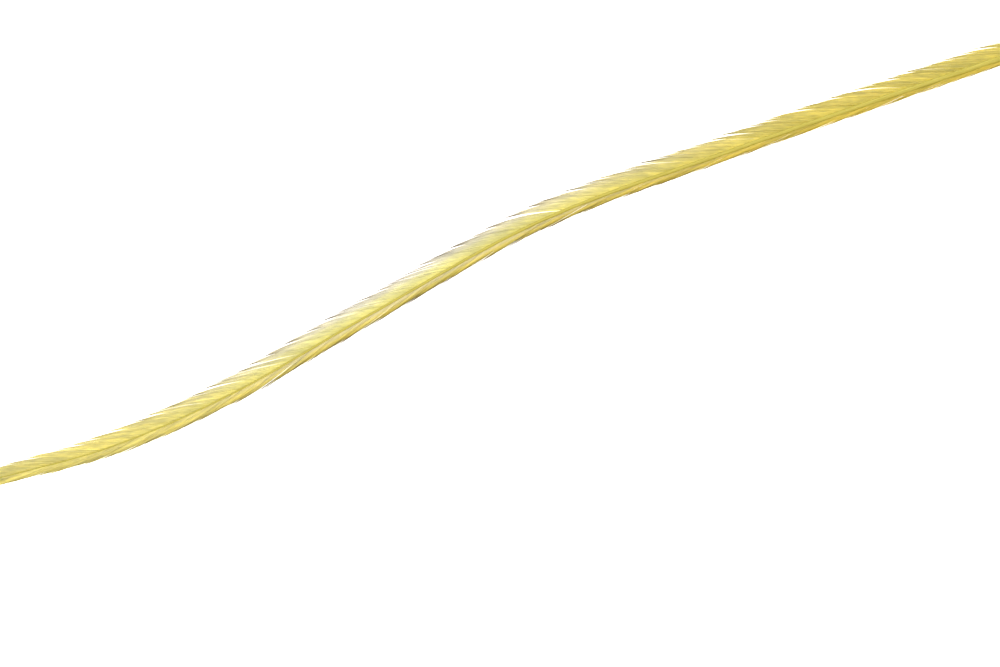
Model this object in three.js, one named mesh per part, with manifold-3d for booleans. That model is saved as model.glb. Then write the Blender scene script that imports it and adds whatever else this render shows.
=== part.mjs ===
// One slender golden display feather of a pheasant, lying on its side on a flat surface.
// Millimetres, +Z up. The quill points to +X and the feather's tip to -X.
// One vane lies flat and the other stands up beside the shaft, so a cut across the feather is a V.

import * as THREE from "three";
import { mergeVertices } from "three/addons/utils/BufferGeometryUtils.js";
import Module from "manifold-3d";

const { clamp, degToRad, lerp, smoothstep } = THREE.MathUtils;

// The vanes
const fullVaneWidth = 1.9; // from the shaft to a vane's margin
const vaneStart = 8; // bare quill before the first barbs
const fullWidthFrom = 24; // where the vanes reach their full width
const taperFrom = 98; // where they begin to narrow towards the tip
const taperPower = 2.2; // the taper begins slowly and quickens
const startWidthShare = 0.45; // of the full width, where the vanes start
const marginThickness = 0.12; // of a vane at its root and margin
const raisedAtQuill = degToRad(70); // how steeply the raised vane stands
const raisedAtTip = degToRad(48);

// The locks that the barbs bunch into
const lastLockRoot = 151;
const lockPitch = 4; // between the roots of neighbouring locks
const barbReach = 7; // from a barb's root to its tip, along the shaft
const shortestReachShare = 0.55; // of that reach, where the vane has no width
const barbBendPower = 1.35; // a barb leaves the shaft steeply and bends a little towards the margin

// The shaft
const quillRadius = 0.5;
const tipRadius = 0.07;
const bluntLength = 1.5; // the quill's end narrows over this length
const bluntShare = 0.45; // of the quill's radius, left at its very end

const golden = 0xc9b23c;

// The shaft's gentle S, seen from above, from the quill's end to the tip
const shaftKnots = [
  [78.5, -0.55],
  [50, 0.83],
  [22, 1.95],
  [2, 2.28],
  [-18, -0.4],
  [-33, -2.7],
  [-46, -3.3],
  [-60, -1.95],
  [-78.5, -0.55],
];
const shaftLine = new THREE.CatmullRomCurve3(shaftKnots.map(([x, y]) => new THREE.Vector3(x, y, 0)));
shaftLine.arcLengthDivisions = 600;
const featherLength = shaftLine.getLength();

// An eight-sided section of the shaft with a flat underside, in shaft radii: across, above
const shaftSection = [
  [-0.4, 0],
  [0.4, 0],
  [1, 0.6],
  [1, 1.3],
  [0.4, 1.9],
  [-0.4, 1.9],
  [-1, 1.3],
  [-1, 0.6],
];
const shaftSteps = 52;
const stepGrowth = 1.15; // the steps are shorter near the quill's end

// The barb lines that shape one lock: where in the lock they start, what share of their full length
// they reach and how thick the vane is along them. The middle line is the lock's ridge.
const lockLines = [
  { start: 0, cut: 0.66, thickness: 0.12 },
  { start: 0.45, cut: 0.88, thickness: 0.28 },
  { start: 0.85, cut: 1, thickness: 0.18 },
];
const barbSteps = 5; // along a barb line
const rootDepth = 0.5; // how far inside the shaft's side a barb line starts, in shaft radii

const wasm = await Module();
wasm.setup();

// The shaft's point at a distance from the quill's end, and the direction out to the flat vane
function shaftFrame(along) {
  const share = clamp(along / featherLength, 0, 1);
  const tangent = shaftLine.getTangentAt(share);
  return {
    point: shaftLine.getPointAt(share),
    outward: new THREE.Vector3(tangent.y, -tangent.x, 0),
  };
}

function shaftRadius(along) {
  const left = 1 - along / featherLength;
  const blunt = lerp(bluntShare, 1, smoothstep(along, 0, bluntLength));
  return blunt * (tipRadius + (quillRadius - tipRadius) * left * left);
}

// From the shaft to the margin: short at the quill, full along the middle and narrow at the tip
function vaneWidth(along) {
  const opening = lerp(startWidthShare, 1, smoothstep(along, vaneStart, fullWidthFrom));
  const tapered = clamp((along - taperFrom) / (featherLength - taperFrom), 0, 1);
  return fullVaneWidth * opening * (1 - Math.pow(tapered, taperPower));
}

// A place on a vane: along the shaft, across the vane and above its underside
function placeOnVane(isFlat, along, across, above) {
  const { point, outward } = shaftFrame(along);
  if (isFlat) return point.addScaledVector(outward, across).setZ(above);
  const angle = lerp(raisedAtQuill, raisedAtTip, along / featherLength);
  const out = above * Math.sin(angle) - across * Math.cos(angle);
  const up = above * Math.cos(angle) + across * Math.sin(angle);
  return point.addScaledVector(outward, out).setZ(up);
}

function closedGeometry(points, faces) {
  const geometry = new THREE.BufferGeometry().setFromPoints(points);
  geometry.setIndex(faces);
  return geometry;
}

// The two triangles of a four-sided face, seen anticlockwise from outside
function quad(a, b, c, d) {
  return [a, b, c, a, c, d];
}

function makeShaft() {
  const points = [];
  for (let step = 0; step <= shaftSteps; step++) {
    const along = featherLength * Math.pow(step / shaftSteps, stepGrowth);
    const { point, outward } = shaftFrame(along);
    const radius = shaftRadius(along);
    for (const [across, above] of shaftSection) {
      points.push(point.clone().addScaledVector(outward, across * radius).setZ(above * radius));
    }
  }
  const sides = shaftSection.length;
  const last = shaftSteps * sides;
  const faces = [];
  for (let ring = 0; ring < last; ring += sides) {
    for (let side = 0; side < sides; side++) {
      const next = (side + 1) % sides;
      faces.push(...quad(ring + side, ring + sides + side, ring + sides + next, ring + next));
    }
  }
  for (let side = 1; side + 1 < sides; side++) {
    faces.push(0, side, side + 1, last, last + side + 1, last + side);
  }
  return closedGeometry(points, faces);
}

// The barb lines of a vane, from the quill to the tip. The first line of each lock is cut short and
// its last reaches the margin, so the locks end in points that overhang the next lock.
function barbLines(isFlat) {
  const lines = [];
  const firstRoot = vaneStart + (isFlat ? 0 : lockPitch / 2); // the two sides' locks alternate
  for (let lockRoot = firstRoot; lockRoot < lastLockRoot; lockRoot += lockPitch) {
    for (const { start, cut, thickness } of lockLines) {
      const root = lockRoot + start * lockPitch;
      const reach = barbReach * lerp(shortestReachShare, 1, vaneWidth(root) / fullVaneWidth);
      lines.push({ root, reach, cut, thickness });
    }
  }
  return lines;
}

// One vane as a closed sheet, with a row of points along each barb line, under and over
function makeVane(isFlat) {
  const lines = barbLines(isFlat);
  const columns = barbSteps + 1;
  const points = [];
  for (const isOver of [false, true]) {
    for (const { root, reach, cut, thickness } of lines) {
      const inShaft = rootDepth * shaftRadius(root);
      for (let column = 0; column < columns; column++) {
        const share = (cut * column) / barbSteps;
        const along = Math.min(root + reach * share, featherLength);
        const across = lerp(inShaft, vaneWidth(along), 1 - Math.pow(1 - share, barbBendPower));
        const above = isOver ? lerp(marginThickness, thickness, Math.sin(Math.PI * share)) : 0;
        points.push(placeOnVane(isFlat, along, across, above));
      }
    }
  }
  const over = lines.length * columns;
  const lastLine = over - columns;
  const faces = [];
  for (let line = 0; line < lastLine; line += columns) {
    for (let a = line; a < line + barbSteps; a++) {
      const b = a + columns;
      faces.push(...quad(a, b, b + 1, a + 1));
      faces.push(...quad(over + a, over + a + 1, over + b + 1, over + b));
    }
    const nextLine = line + columns;
    faces.push(...quad(line, over + line, over + nextLine, nextLine));
    const margin = line + barbSteps;
    const nextMargin = margin + columns;
    faces.push(...quad(margin, nextMargin, over + nextMargin, over + margin));
  }
  for (let column = 0; column < barbSteps; column++) {
    faces.push(...quad(column, column + 1, over + column + 1, over + column));
    const last = lastLine + column;
    faces.push(...quad(last, over + last, over + last + 1, last + 1));
  }
  return closedGeometry(points, isFlat ? faces : faces.reverse());
}

function solidOf(geometry) {
  const merged = mergeVertices(geometry, 1e-4);
  return new wasm.Manifold(
    new wasm.Mesh({
      numProp: 3,
      vertProperties: merged.attributes.position.array,
      triVerts: new Uint32Array(merged.index.array),
    }),
  );
}

function geometryOf(solid) {
  const mesh = solid.getMesh();
  const geometry = new THREE.BufferGeometry();
  geometry.setAttribute("position", new THREE.BufferAttribute(mesh.vertProperties, 3));
  geometry.setIndex(new THREE.BufferAttribute(mesh.triVerts, 1));
  geometry.computeVertexNormals();
  return geometry;
}

// The shaft and both vanes grew as one piece, so they are joined in one solid
function makeFeather() {
  const shaft = solidOf(makeShaft());
  const flatVane = solidOf(makeVane(true));
  const raisedVane = solidOf(makeVane(false));
  const keratin = new THREE.MeshStandardMaterial({ color: golden, roughness: 0.5, metalness: 0 });
  const feather = new THREE.Mesh(geometryOf(shaft.add(flatVane).add(raisedVane)), keratin);
  feather.name = "feather";
  return feather;
}

const feather = makeFeather();

// The origin is on the surface, under the middle of the feather
const box = new THREE.Box3().setFromObject(feather);
const middle = box.getCenter(new THREE.Vector3());
feather.position.set(-middle.x, -middle.y, 0);

const part = new THREE.Group();
part.add(feather);

export default part;
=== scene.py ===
import math
import random

import bmesh
import bpy
import numpy as np
from mathutils import Matrix


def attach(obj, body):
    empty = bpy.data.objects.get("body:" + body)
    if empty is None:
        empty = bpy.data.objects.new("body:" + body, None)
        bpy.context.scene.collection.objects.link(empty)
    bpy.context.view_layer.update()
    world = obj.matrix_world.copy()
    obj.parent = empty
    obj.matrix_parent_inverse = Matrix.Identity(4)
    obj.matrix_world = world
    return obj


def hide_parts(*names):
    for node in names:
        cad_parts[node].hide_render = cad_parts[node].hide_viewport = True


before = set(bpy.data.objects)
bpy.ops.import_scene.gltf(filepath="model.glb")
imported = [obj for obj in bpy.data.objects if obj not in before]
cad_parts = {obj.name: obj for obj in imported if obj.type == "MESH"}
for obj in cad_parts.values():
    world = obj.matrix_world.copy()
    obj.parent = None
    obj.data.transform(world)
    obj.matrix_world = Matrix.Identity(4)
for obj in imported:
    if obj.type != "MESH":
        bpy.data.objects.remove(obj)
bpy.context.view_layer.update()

mm = 0.001

# The feather's form, the same as the solid's. Lengths are in millimetres,
# and places along the shaft are measured from the quill's end.
featherShape = {
    "shaftKnots": [(78.5, -0.55), (50, 0.83), (22, 1.95), (2, 2.28), (-18, -0.4),
                   (-33, -2.7), (-46, -3.3), (-60, -1.95), (-78.5, -0.55)],
    "vaneWidth": 1.9,
    "vaneStart": 8,
    "startWidthShare": 0.45,
    "fullWidthFrom": 24,
    "taperFrom": 98,
    "taperPower": 2.2,
    "marginThickness": 0.12,
    "lockPlaces": (0, 0.45, 0.85, 1),  # a lock's edge, ridge and point, and the next lock's edge
    "lockThickness": (0.12, 0.28, 0.18, 0.12),  # at those places
    "raisedAtQuill": math.radians(70),
    "raisedAtTip": math.radians(48),
}


def lerp(low, high, share):
    return low + (high - low) * share


def smoothstep(low, high, value):
    share = np.clip((value - low) / (high - low), 0, 1)
    return share * share * (3 - 2 * share)


# One stretch of a centripetal spline, from start to end
def splineStretch(before, start, end, after, steps):
    pairs = (before, start), (start, end), (end, after)
    first, middle, last = (np.linalg.norm(b - a) ** 0.5 for a, b in pairs)
    leave = (start - before) / first - (end - before) / (first + middle) + (end - start) / middle
    arrive = (end - start) / middle - (after - start) / (middle + last) + (after - end) / last
    t = np.linspace(0, 1, steps, endpoint=False)[:, None]
    line = (2 * t ** 3 - 3 * t ** 2 + 1) * start + (3 * t ** 2 - 2 * t ** 3) * end
    return line + ((t ** 3 - 2 * t ** 2 + t) * leave + (t ** 3 - t ** 2) * arrive) * middle


def sampleShaft():
    stepsPerKnot = 80
    knots = [np.array(knot, float) for knot in featherShape["shaftKnots"]]
    knots = [2 * knots[0] - knots[1]] + knots + [2 * knots[-1] - knots[-2]]
    stretches = [splineStretch(*knots[i:i + 4], stepsPerKnot) for i in range(len(knots) - 3)]
    line = np.concatenate(stretches + [knots[-2][None]])
    steps = np.linalg.norm(np.diff(line, axis=0), axis=1)
    lengths = np.concatenate([[0], np.cumsum(steps)])
    tangent = np.gradient(line, lengths, axis=0)
    tangent /= np.linalg.norm(tangent, axis=1)[:, None]
    return lengths, line, tangent


shaftLengths, shaftLine, shaftTangent = sampleShaft()
featherLength = shaftLengths[-1]


# Places on the feather, in metres: along the shaft, out from it in plan, and up
def placeBesideShaft(along, out, up):
    x, y = (np.interp(along, shaftLengths, shaftLine[:, axis]) for axis in (0, 1))
    outX = np.interp(along, shaftLengths, shaftTangent[:, 1])
    outY = -np.interp(along, shaftLengths, shaftTangent[:, 0])
    return np.stack([x + outX * out, y + outY * out, up + 0 * x], -1) * mm


# Places on a vane: along the shaft, across the vane and above its underside
def placeOnVane(isFlat, along, across, above):
    if isFlat:
        return placeBesideShaft(along, across, above)
    share = along / featherLength
    angle = lerp(featherShape["raisedAtQuill"], featherShape["raisedAtTip"], share)
    out = above * np.sin(angle) - across * np.cos(angle)
    up = above * np.cos(angle) + across * np.sin(angle)
    return placeBesideShaft(along, out, up)


def vaneWidth(along):
    shape = featherShape
    opened = smoothstep(shape["vaneStart"], shape["fullWidthFrom"], along)
    opening = lerp(shape["startWidthShare"], 1, opened)
    tapered = np.clip((along - shape["taperFrom"]) / (featherLength - shape["taperFrom"]), 0, 1)
    return shape["vaneWidth"] * opening * (1 - tapered ** shape["taperPower"])


# How thick a vane is at a place in a lock and at a share of a barb's length
def ridgeHeight(inLock, share):
    ridge = np.interp(inLock, featherShape["lockPlaces"], featherShape["lockThickness"])
    return lerp(featherShape["marginThickness"], ridge, np.sin(np.pi * share))


# Meshes and objects
def slenderRod(sides, steps):  # a closed rod from x = 0 to 1, cut into steps along its length
    half = 0.5  # of its length
    bm = bmesh.new()
    bmesh.ops.create_cone(bm, cap_ends=True, segments=sides, radius1=1, radius2=1, depth=1)
    bmesh.ops.translate(bm, vec=(0, 0, half), verts=bm.verts)
    bmesh.ops.rotate(bm, matrix=Matrix.Rotation(math.radians(90), 3, "Y"), verts=bm.verts)
    longEdges = [e for e in bm.edges if abs(e.verts[0].co.x - e.verts[1].co.x) > half]
    bmesh.ops.subdivide_edges(bm, edges=longEdges, cuts=steps - 1)
    bmesh.ops.recalc_face_normals(bm, faces=bm.faces)
    return bm


def finishMesh(name, bm):
    mesh = bpy.data.meshes.new(name)
    bm.to_mesh(mesh)
    bm.free()
    return mesh


def rodPlaces(mesh):
    places = np.zeros(len(mesh.vertices) * 3)
    mesh.vertices.foreach_get("co", places)
    places = places.reshape(-1, 3)
    places[:, 0] = np.clip(places[:, 0], 0, 1)
    return places


def setPlaces(mesh, places):
    mesh.vertices.foreach_set("co", places.ravel())
    mesh.update()


def storeValues(mesh, name, values):
    attribute = mesh.attributes.new(name, "FLOAT", "POINT")
    attribute.data.foreach_set("value", np.asarray(values, np.float32).ravel())


def addObject(name, data):
    thing = bpy.data.objects.new(name, data)
    bpy.context.scene.collection.objects.link(thing)
    return thing


def addPiece(name, mesh, material):
    mesh.materials.append(material)
    for polygon in mesh.polygons:
        polygon.use_smooth = True
    piece = addObject(name, mesh)
    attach(piece, "root")
    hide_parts("feather")


# Nodes
def newMaterial(name):
    material = bpy.data.materials.new(name)
    material.use_nodes = True
    material.node_tree.nodes.clear()
    return material, material.node_tree


def showShader(tree, shader):
    output = tree.nodes.new("ShaderNodeOutputMaterial")
    tree.links.new(shader.outputs[0], output.inputs["Surface"])


def readValue(tree, name):
    node = tree.nodes.new("ShaderNodeAttribute")
    node.attribute_name = name
    return node.outputs["Fac"]


def feed(tree, source, target):
    if isinstance(source, bpy.types.NodeSocket):
        tree.links.new(source, target)
    else:
        target.default_value = source


def multiply(tree, product, *factors):
    for factor in factors:
        node = tree.nodes.new("ShaderNodeMath")
        node.operation = "MULTIPLY"
        feed(tree, product, node.inputs[0])
        feed(tree, factor, node.inputs[1])
        product = node.outputs[0]
    return product


# The four numbers are from low, from high, to low and to high, and the change is eased
def mapRange(tree, value, numbers):
    node = tree.nodes.new("ShaderNodeMapRange")
    node.interpolation_type = "SMOOTHSTEP"
    for socket, number in zip(node.inputs[1:5], numbers):
        socket.default_value = number
    feed(tree, value, node.inputs[0])
    return node.outputs[0]


def colourRamp(tree, value, stops):
    node = tree.nodes.new("ShaderNodeValToRGB")
    node.color_ramp.interpolation = "EASE"
    elements = node.color_ramp.elements
    while len(elements) < len(stops):
        elements.new(0.5)  # every stop gets its place below
    for element, (place, colour) in zip(elements, stops):
        element.position = place
        element.color = (*colour, 1)
    feed(tree, value, node.inputs["Fac"])
    return node.outputs["Color"]


def mixColours(tree, share, first, second, blend="MIX"):
    node = tree.nodes.new("ShaderNodeMix")
    node.data_type = "RGBA"
    node.blend_type = blend
    feed(tree, share, node.inputs["Factor"])
    for socket, colour in ((node.inputs[6], first), (node.inputs[7], second)):
        feed(tree, colour if isinstance(colour, bpy.types.NodeSocket) else (*colour, 1), socket)
    return node.outputs[2]


# Noise over two values, drawn out into streaks where their scales differ
def streaks(tree, first, second, scales, detail=2.0):
    vector = tree.nodes.new("ShaderNodeCombineXYZ")
    tree.links.new(multiply(tree, first, scales[0]), vector.inputs["X"])
    tree.links.new(multiply(tree, second, scales[1]), vector.inputs["Y"])
    noise = tree.nodes.new("ShaderNodeTexNoise")
    noise.inputs["Scale"].default_value = 1
    noise.inputs["Detail"].default_value = detail
    tree.links.new(vector.outputs[0], noise.inputs["Vector"])
    return noise.outputs["Fac"]


# Smooth horn that lets some light through. The grain varies its gloss and gives a fine relief.
def finishKeratin(tree, colour, grain, settings):
    bump = tree.nodes.new("ShaderNodeBump")
    bump.inputs["Strength"].default_value = settings["reliefStrength"]
    bump.inputs["Distance"].default_value = settings["reliefDepth"] * mm
    tree.links.new(grain, bump.inputs["Height"])
    shader = tree.nodes.new("ShaderNodeBsdfPrincipled")
    shader.inputs["Specular IOR Level"].default_value = settings["specular"]
    tree.links.new(colour, shader.inputs["Base Color"])
    tree.links.new(mapRange(tree, grain, settings["roughness"]), shader.inputs["Roughness"])
    tree.links.new(bump.outputs["Normal"], shader.inputs["Normal"])
    glow = tree.nodes.new("ShaderNodeBsdfTranslucent")
    tree.links.new(colour, glow.inputs["Color"])
    blend = tree.nodes.new("ShaderNodeMixShader")
    blend.inputs["Fac"].default_value = settings["translucency"]
    tree.links.new(shader.outputs[0], blend.inputs[1])
    tree.links.new(glow.outputs[0], blend.inputs[2])
    showShader(tree, blend)


# Barbs, the same for both vanes. Lengths are in millimetres. Chance picks between the two
# numbers of a pair, except in the scales.
barbSettings = {
    "spacing": 0.36,  # between neighbouring roots, along the shaft
    "spacingRange": (0.8, 1.2),
    "lastRoot": 153,
    "lockPitch": 4,
    "lockPoint": 0.85,  # place in a lock of its longest barb
    "tuftWidths": (1.0, 2.4),  # of the small tufts that a lock splits into
    "tuftPoints": (0.5, 0.9),  # place in a tuft that its barbs are drawn to
    "tuftPulls": (0.5, 1.2),  # how strongly they are drawn there
    "tuftLift": 0.04,  # how far the highest tufts rise
    "tuftSpread": 0.03,  # share by which a tuft may be wider or narrower than the vane
    "gatherFrom": 0.45,  # the barbs draw together between these shares of their length
    "gatherTo": 1.05,
    "reach": 7,  # from a barb's root to its tip, along the shaft
    "reachRange": (0.97, 1.03),
    "lengthRange": (0.96, 1.02),
    "shortestReachShare": 0.55,
    "bendPower": 1.35,
    "widthShare": 1.01,  # of the solid's vane, that the barbs reach across
    "sides": 3,
    "steps": 12,
    "height": 0.04,
    "thicknessRange": (0.8, 1.2),
    "narrowFrom": 0.3,  # a barb gets thinner between these shares of its length
    "narrowTo": 0.9,
    "pointDepth": 0.75,  # share of its thickness that it loses in its fine point
    "pointPower": 8,
    "bedHeight": 0.03,  # of the barbs above the vane's underside
    "ridgeShare": 0.5,  # of a ridge's extra thickness, that its barbs are raised by
    "lowest": 0.004,  # no point of a barb is lower
    "waviness": 0.03,  # how far a barb strays from its line
    "halfWaves": (0.6, 1.6),  # of that straying, along a barb
    "looseLift": 0.01,  # how far a loose barb may rise
    "downyUntil": 24,  # the barbs are looser before this place
    "downiness": 3.0,
    "strayShare": 0.04,  # of the barbs, that stand well out of line
    "strayLooseness": 2.5,
    "thinVane": 0.3,  # a vane narrower than this has only the colours from beside the shaft
    "endColour": (0.24, 0.18, 0.09),  # of the barbs' dark ends
    "featherTipColour": (0.91, 0.84, 0.32),
    "streakScales": (5.0, 40.0),  # along a barb, and from barb to barb
    "barbuleScales": (110.0, 40.0),  # the barbules show as a fine grain across each barb
    "roughness": (0.3, 0.7, 0.4, 0.56),  # by the grain, as numbers for mapRange
    "reliefDepth": 0.006,  # of the grain
    "reliefStrength": 0.8,
    "specular": 0.35,
    "translucency": 0.6,
}

# How the barbs' colours mix, as numbers for mapRange
barbBlends = {
    "nearQuill": (0.28, 0.58, 0.84, 0.0),  # by the place along the feather
    "nearTip": (0.6, 0.81, 0.0, 0.8),
    "streakShade": (0.3, 0.7, 0.88, 1.04),
    "tuftShade": (0.0, 1.0, 0.95, 1.04),
    "barbEnd": (0.56, 0.9, 0.0, 1.0),  # by the place along the barb
    "darkBarb": (0.2, 0.7, 0.35, 1.0),  # some barbs' ends are darker than others'
    "darkInTuft": (0.35, 0.9, 0.12, 1.0),
    "darkAfterQuill": (0.15, 0.5, 0.4, 1.0),
    "darkUntilTip": (0.74, 0.85, 1.0, 0.2),
}

# The flat vane frays into small tufts
flatVaneSettings = {
    "isFlat": True,
    "seed": 11,
    "barbWidth": 0.17,
    "roll": 1.1,  # each barb leans over its neighbour like a shingle
    "marginWidthShare": 0.48,  # of a barb's width, left at the margin
    "lockGather": 0.06,  # how far the barbs are drawn to their lock's point
    "tuftGather": 0.58,
    "lockCut": 0.96,  # length of a lock's shortest barb
    "tuftCut": 0.88,
    "colours": [(0.0, (0.87, 0.80, 0.27)), (0.14, (0.89, 0.85, 0.40)),  # from shaft to margin
                (0.42, (0.89, 0.86, 0.54)), (0.66, (0.88, 0.85, 0.71)), (1.0, (0.82, 0.77, 0.71))],
    "quillColour": (0.83, 0.735, 0.175),
}

# The raised vane keeps its broad locks
raisedVaneSettings = {
    "isFlat": False,
    "seed": 12,
    "barbWidth": 0.18,
    "roll": 0.5,
    "marginWidthShare": 0.88,
    "lockGather": 0.28,
    "tuftGather": 0.2,
    "lockCut": 0.82,
    "tuftCut": 0.97,
    "colours": [(0.0, (0.85, 0.78, 0.50)), (0.35, (0.83, 0.76, 0.46)), (0.56, (0.84, 0.75, 0.27)),
                (0.78, (0.76, 0.66, 0.14)), (0.88, (0.46, 0.36, 0.09)), (0.96, (0.18, 0.12, 0.04))],
    "quillColour": (0.79, 0.66, 0.115),
}


def barbMaterial(name, vane):
    settings, blends = barbSettings, barbBlends
    material, tree = newMaterial(name)
    keys = "acrossShare", "alongShare", "barbShare", "lot", "tuft", "inTuft"
    across, along, barb, lot, tuft, inTuft = (readValue(tree, key) for key in keys)

    colour = colourRamp(tree, across, vane["colours"])
    nearQuill = mapRange(tree, along, blends["nearQuill"])
    colour = mixColours(tree, nearQuill, colour, vane["quillColour"])
    nearTip = mapRange(tree, along, blends["nearTip"])
    colour = mixColours(tree, nearTip, colour, settings["featherTipColour"])

    streak = streaks(tree, barb, lot, settings["streakScales"])
    shade = multiply(tree, mapRange(tree, streak, blends["streakShade"]),
                     mapRange(tree, tuft, blends["tuftShade"]))
    shadeColour = tree.nodes.new("ShaderNodeCombineColor")
    for socket in shadeColour.inputs:
        tree.links.new(shade, socket)
    colour = mixColours(tree, 1.0, colour, shadeColour.outputs[0], "MULTIPLY")

    darkness = multiply(tree, mapRange(tree, lot, blends["darkBarb"]),
                        mapRange(tree, inTuft, blends["darkInTuft"]),
                        mapRange(tree, along, blends["darkAfterQuill"]),
                        mapRange(tree, along, blends["darkUntilTip"]))
    darkEnd = multiply(tree, mapRange(tree, barb, blends["barbEnd"]), darkness)
    colour = mixColours(tree, darkEnd, colour, settings["endColour"])

    barbules = streaks(tree, barb, lot, settings["barbuleScales"])
    finishKeratin(tree, colour, barbules, settings)
    return material


def newTuft(start, chance):
    settings = barbSettings
    width = chance.uniform(*settings["tuftWidths"])
    return {
        "start": start,
        "width": width,
        "point": start + width * chance.uniform(*settings["tuftPoints"]),
        "tone": chance.random(),
        "lift": chance.uniform(-1, 1),
        "spread": chance.uniform(-1, 1),
        "pull": chance.uniform(*settings["tuftPulls"]),
    }


# One barb: places of the rod's points on its line, and the values that its colours read
def shapeBarb(vane, root, inLock, tuft, rodShape, chance):
    settings = barbSettings
    lengthShare, side, height = rodShape
    inTuft = (root - tuft["start"]) / tuft["width"]
    fullness = vaneWidth(root) / featherShape["vaneWidth"]
    reach = settings["reach"] * lerp(settings["shortestReachShare"], 1, fullness)
    reach = reach * chance.uniform(*settings["reachRange"])
    towardsPoint = min(inLock / settings["lockPoint"], 1)
    cut = lerp(vane["lockCut"], 1, towardsPoint) * lerp(vane["tuftCut"], 1, inTuft)
    share = lengthShare * cut * chance.uniform(*settings["lengthRange"])
    pastDown = smoothstep(featherShape["vaneStart"], settings["downyUntil"], root)
    looseness = lerp(settings["downiness"], 1, pastDown)
    if chance.random() < settings["strayShare"]:
        looseness = looseness * settings["strayLooseness"]

    # Its line, drawn to the points of its lock and tuft
    gathered = smoothstep(settings["gatherFrom"], settings["gatherTo"], share)
    toLockPoint = (settings["lockPoint"] - inLock) * settings["lockPitch"]
    drawn = root + toLockPoint * vane["lockGather"] * gathered
    drawn = drawn + (tuft["point"] - root) * vane["tuftGather"] * tuft["pull"] * gathered
    along = np.minimum(drawn + reach * share, featherLength)
    width = vaneWidth(along) * (settings["widthShare"] + settings["tuftSpread"] * tuft["spread"])
    wave = chance.uniform(-1, 1) * np.sin(np.pi * share * chance.uniform(*settings["halfWaves"]))
    across = width * (1 - (1 - np.minimum(share, 1)) ** settings["bendPower"])
    across = across + wave * settings["waviness"] * looseness

    # Its thickness, and its height on the ridge of its lock
    narrowed = smoothstep(settings["narrowFrom"], settings["narrowTo"], share)
    thickness = lerp(1, vane["marginWidthShare"], narrowed)
    thickness = thickness * chance.uniform(*settings["thicknessRange"])
    thickness = thickness * (1 - settings["pointDepth"] * lengthShare ** settings["pointPower"])
    across = across + side * vane["barbWidth"] * thickness
    ridge = ridgeHeight(inLock, share) - featherShape["marginThickness"]
    above = settings["bedHeight"] + settings["ridgeShare"] * ridge
    lift = settings["tuftLift"] * max(tuft["lift"], 0)
    above = above + (lift + settings["looseLift"] * looseness * chance.random()) * share
    above = above + (height + side * vane["roll"]) * settings["height"] * thickness

    across, above = np.maximum(across, 0), np.maximum(above, settings["lowest"])
    values = {
        "barbShare": lengthShare,
        "acrossShare": np.clip(across / np.maximum(width, settings["thinVane"]), 0, 1),
        "alongShare": along / featherLength,
        "lot": chance.random(),
        "inTuft": inTuft,
        "tuft": tuft["tone"],
    }
    values = {key: value + 0 * share for key, value in values.items()}
    return placeOnVane(vane["isFlat"], along, across, above), values


def buildVane(name, vane):
    settings = barbSettings
    chance = random.Random(vane["seed"])
    rodMesh = finishMesh("barbRod", slenderRod(settings["sides"], settings["steps"]))
    lengthShare, side, height = rodPlaces(rodMesh).T
    rodShape = lengthShare, side / np.ptp(side), (height - height.min()) / np.ptp(height)

    bm = bmesh.new()
    barbs = []
    firstRoot = featherShape["vaneStart"]
    if not vane["isFlat"]:
        firstRoot = firstRoot + settings["lockPitch"] / 2  # the two sides' locks alternate
    root = firstRoot
    tuft = newTuft(root, chance)
    while root < settings["lastRoot"]:
        bm.from_mesh(rodMesh)
        if root > tuft["start"] + tuft["width"]:
            tuft = newTuft(root, chance)
        inLock = (root - firstRoot) / settings["lockPitch"] % 1
        barbs.append(shapeBarb(vane, root, inLock, tuft, rodShape, chance))
        root += settings["spacing"] * chance.uniform(*settings["spacingRange"])
    bpy.data.meshes.remove(rodMesh)

    mesh = finishMesh(name, bm)
    setPlaces(mesh, np.concatenate([places for places, _ in barbs]))
    for key in barbs[0][1]:
        storeValues(mesh, key, np.concatenate([values[key] for _, values in barbs]))
    addPiece(name, mesh, barbMaterial(name, vane))
    print(name, "has", len(barbs), "barbs and", len(mesh.polygons), "faces")


buildVane("flatVane", flatVaneSettings)
buildVane("raisedVane", raisedVaneSettings)


# Shaft, with its lengths in millimetres
shaftSettings = {
    "quillRadius": 0.5,
    "tipRadius": 0.06,
    "taperPower": 1.7,
    "heightShare": 0.95,  # of the width
    "flatShare": 0.85,  # of half the height, from the middle down to the flat underside
    "bluntLength": 3.0,  # the quill's end narrows in a rounded point over this length
    "bluntShare": 0.4,
    "bluntPower": 0.8,
    "hollowDepth": 0.6,  # of the small opening in the quill's end
    "rimShare": 0.4,  # of the quill's radius there, left round the opening
    "fineLength": 5.0,  # the shaft runs out to a hair over this length at the tip
    "fineShare": 0.3,
    "sides": 12,
    "steps": 260,
    "stepPower": 1.3,  # the steps are shorter near the quill's end
    "olive": (0.42, 0.355, 0.035),
    "pale": (0.54, 0.46, 0.07),
    "quillDark": (0.44, 0.33, 0.13),
    "quillPale": (0.60, 0.50, 0.27),
    "quillBlend": (0.02, 0.12, 1.0, 0.0),  # by the place along it, as numbers for mapRange
    "grainScales": (60.0, 5.0),  # along and around the shaft
    "grainDetail": 4.0,
    "grainContrast": (0.3, 0.7, 0.0, 1.0),  # numbers for mapRange, as the next ones are
    "roughness": (0.0, 1.0, 0.3, 0.44),
    "reliefDepth": 0.012,  # of the grain
    "reliefStrength": 0.6,
    "specular": 0.5,
    "translucency": 0.25,
}


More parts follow.
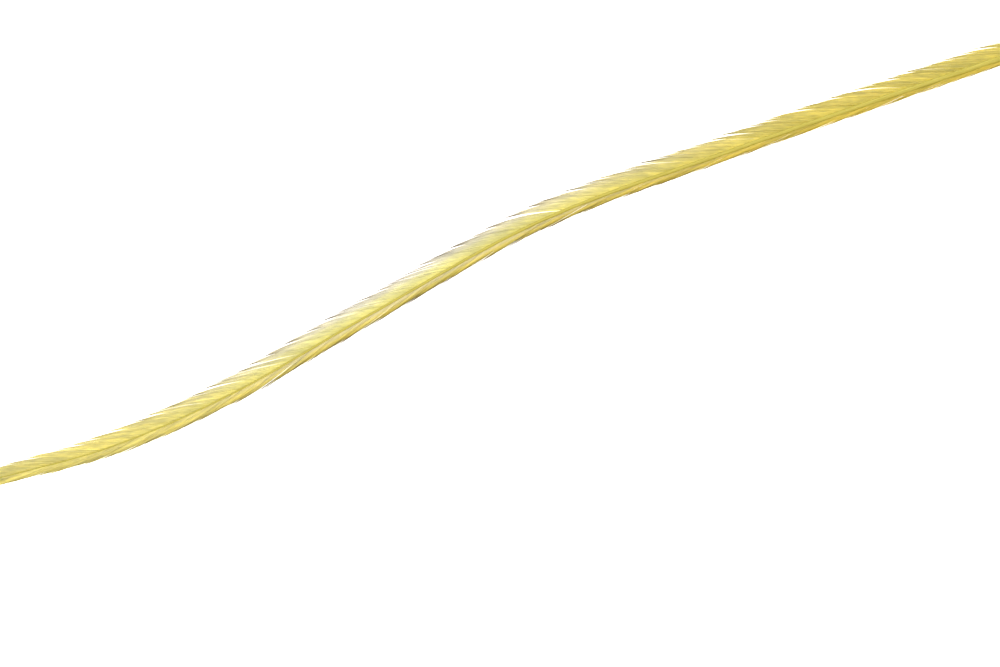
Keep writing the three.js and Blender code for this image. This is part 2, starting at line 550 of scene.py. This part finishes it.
def shaftRadius(along):
    settings = shaftSettings
    left = 1 - along / featherLength
    rounded = np.sin(0.5 * math.pi * np.clip(along / settings["bluntLength"], 0, 1))
    blunt = lerp(settings["bluntShare"], 1, rounded ** settings["bluntPower"])
    fineness = smoothstep(featherLength - settings["fineLength"], featherLength, along)
    fine = lerp(1, settings["fineShare"], fineness)
    taper = lerp(settings["tipRadius"], settings["quillRadius"], left ** settings["taperPower"])
    return blunt * fine * taper


def shaftMaterial():
    settings = shaftSettings
    material, tree = newMaterial("shaft")
    along, around = (readValue(tree, key) for key in ("alongShare", "around"))
    grain = streaks(tree, along, around, settings["grainScales"], settings["grainDetail"])
    grain = mapRange(tree, grain, settings["grainContrast"])
    colour = mixColours(tree, grain, settings["olive"], settings["pale"])
    horn = mixColours(tree, grain, settings["quillDark"], settings["quillPale"])
    colour = mixColours(tree, mapRange(tree, along, settings["quillBlend"]), colour, horn)
    finishKeratin(tree, colour, grain, settings)
    return material


def buildShaft():
    settings = shaftSettings
    rod = slenderRod(settings["sides"], settings["steps"])
    quillEnd = min(rod.faces, key=lambda face: face.calc_center_median().x)
    bmesh.ops.inset_region(rod, faces=[quillEnd], thickness=settings["rimShare"])
    hollowDepth = (settings["hollowDepth"] / featherLength) ** (1 / settings["stepPower"])
    bmesh.ops.translate(rod, vec=(hollowDepth, 0, 0), verts=quillEnd.verts)
    mesh = finishMesh("shaft", rod)

    lengthShare, side, height = rodPlaces(mesh).T
    along = featherLength * lengthShare ** settings["stepPower"]
    radius = shaftRadius(along)
    heightShare = settings["heightShare"]
    up = radius * (heightShare + heightShare * np.maximum(height, -settings["flatShare"]))
    setPlaces(mesh, placeBesideShaft(along, side * radius, up - up.min()))
    storeValues(mesh, "alongShare", along / featherLength)
    storeValues(mesh, "around", np.arctan2(height, side))
    addPiece("shaft", mesh, shaftMaterial())
    print("shaft has", len(mesh.polygons), "faces")


buildShaft()


# Studio: a pale floor, soft light from all round and the camera looking straight down
studioSettings = {
    "floorSize": 4.0,  # in metres, as the softbox is
    "floorDepth": 0.02,  # below the feather, in millimetres
    "floorColour": (0.92, 0.92, 0.93),
    "floorRoughness": 0.9,
    "floorSpecular": 0.1,
    "floorGlow": 1.0,  # the floor is a light table
    "lightColour": (1, 1, 1, 1),
    "worldStrength": 1.4,
    "softboxPower": 12.0,
    "softboxSize": 1.2,
    "softboxPlace": (-0.5, 0.7, 1.1),
    "viewCentre": (-5.86, -6.70),  # of the photograph, on the feather's surface, in millimetres
    "viewWidth": 100.0,  # that the photograph covers there
    "turn": math.radians(-21.12),  # the feather runs down to the left
    "lens": 100.0,
    "sensor": 36.0,
    "clipStart": 0.01,
}


def buildFloor():
    studio = studioSettings
    bm = bmesh.new()
    bmesh.ops.create_grid(bm, x_segments=1, y_segments=1, size=studio["floorSize"] / 2)
    bmesh.ops.translate(bm, vec=(0, 0, -studio["floorDepth"] * mm), verts=bm.verts)
    floorMesh = finishMesh("floor", bm)
    material, tree = newMaterial("floor")
    shader = tree.nodes.new("ShaderNodeBsdfPrincipled")
    shader.inputs["Base Color"].default_value = (*studio["floorColour"], 1)
    shader.inputs["Roughness"].default_value = studio["floorRoughness"]
    shader.inputs["Specular IOR Level"].default_value = studio["floorSpecular"]
    shader.inputs["Emission Color"].default_value = studio["lightColour"]
    shader.inputs["Emission Strength"].default_value = studio["floorGlow"]
    showShader(tree, shader)
    floorMesh.materials.append(material)
    floor = addObject("floor", floorMesh)


def buildLight():
    studio = studioSettings
    world = bpy.data.worlds.new("studio")
    world.use_nodes = True
    background = world.node_tree.nodes["Background"]
    background.inputs["Color"].default_value = studio["lightColour"]
    background.inputs["Strength"].default_value = studio["worldStrength"]
    bpy.context.scene.world = world

    lamp = bpy.data.lights.new("softbox", "AREA")
    lamp.size = studio["softboxSize"]
    lamp.energy = studio["softboxPower"]
    softbox = addObject("softbox", lamp)
    softbox.location = studio["softboxPlace"]
    softbox.rotation_euler = (-softbox.location).to_track_quat("-Z", "Y").to_euler()


def buildCamera():
    studio = studioSettings
    eye = bpy.data.cameras.new("camera")
    eye.lens = studio["lens"]
    eye.sensor_width = studio["sensor"]
    eye.clip_start = studio["clipStart"]
    camera = addObject("camera", eye)
    x, y = studio["viewCentre"]
    height = studio["viewWidth"] * studio["lens"] / studio["sensor"]
    camera.location = (x * mm, y * mm, height * mm)
    camera.rotation_euler = (0, 0, studio["turn"])
    bpy.context.scene.camera = camera
    bpy.context.scene.view_settings.view_transform = "Standard"
    print("studio ready, camera", round(height), "mm above the feather")


buildFloor()
buildLight()
buildCamera()
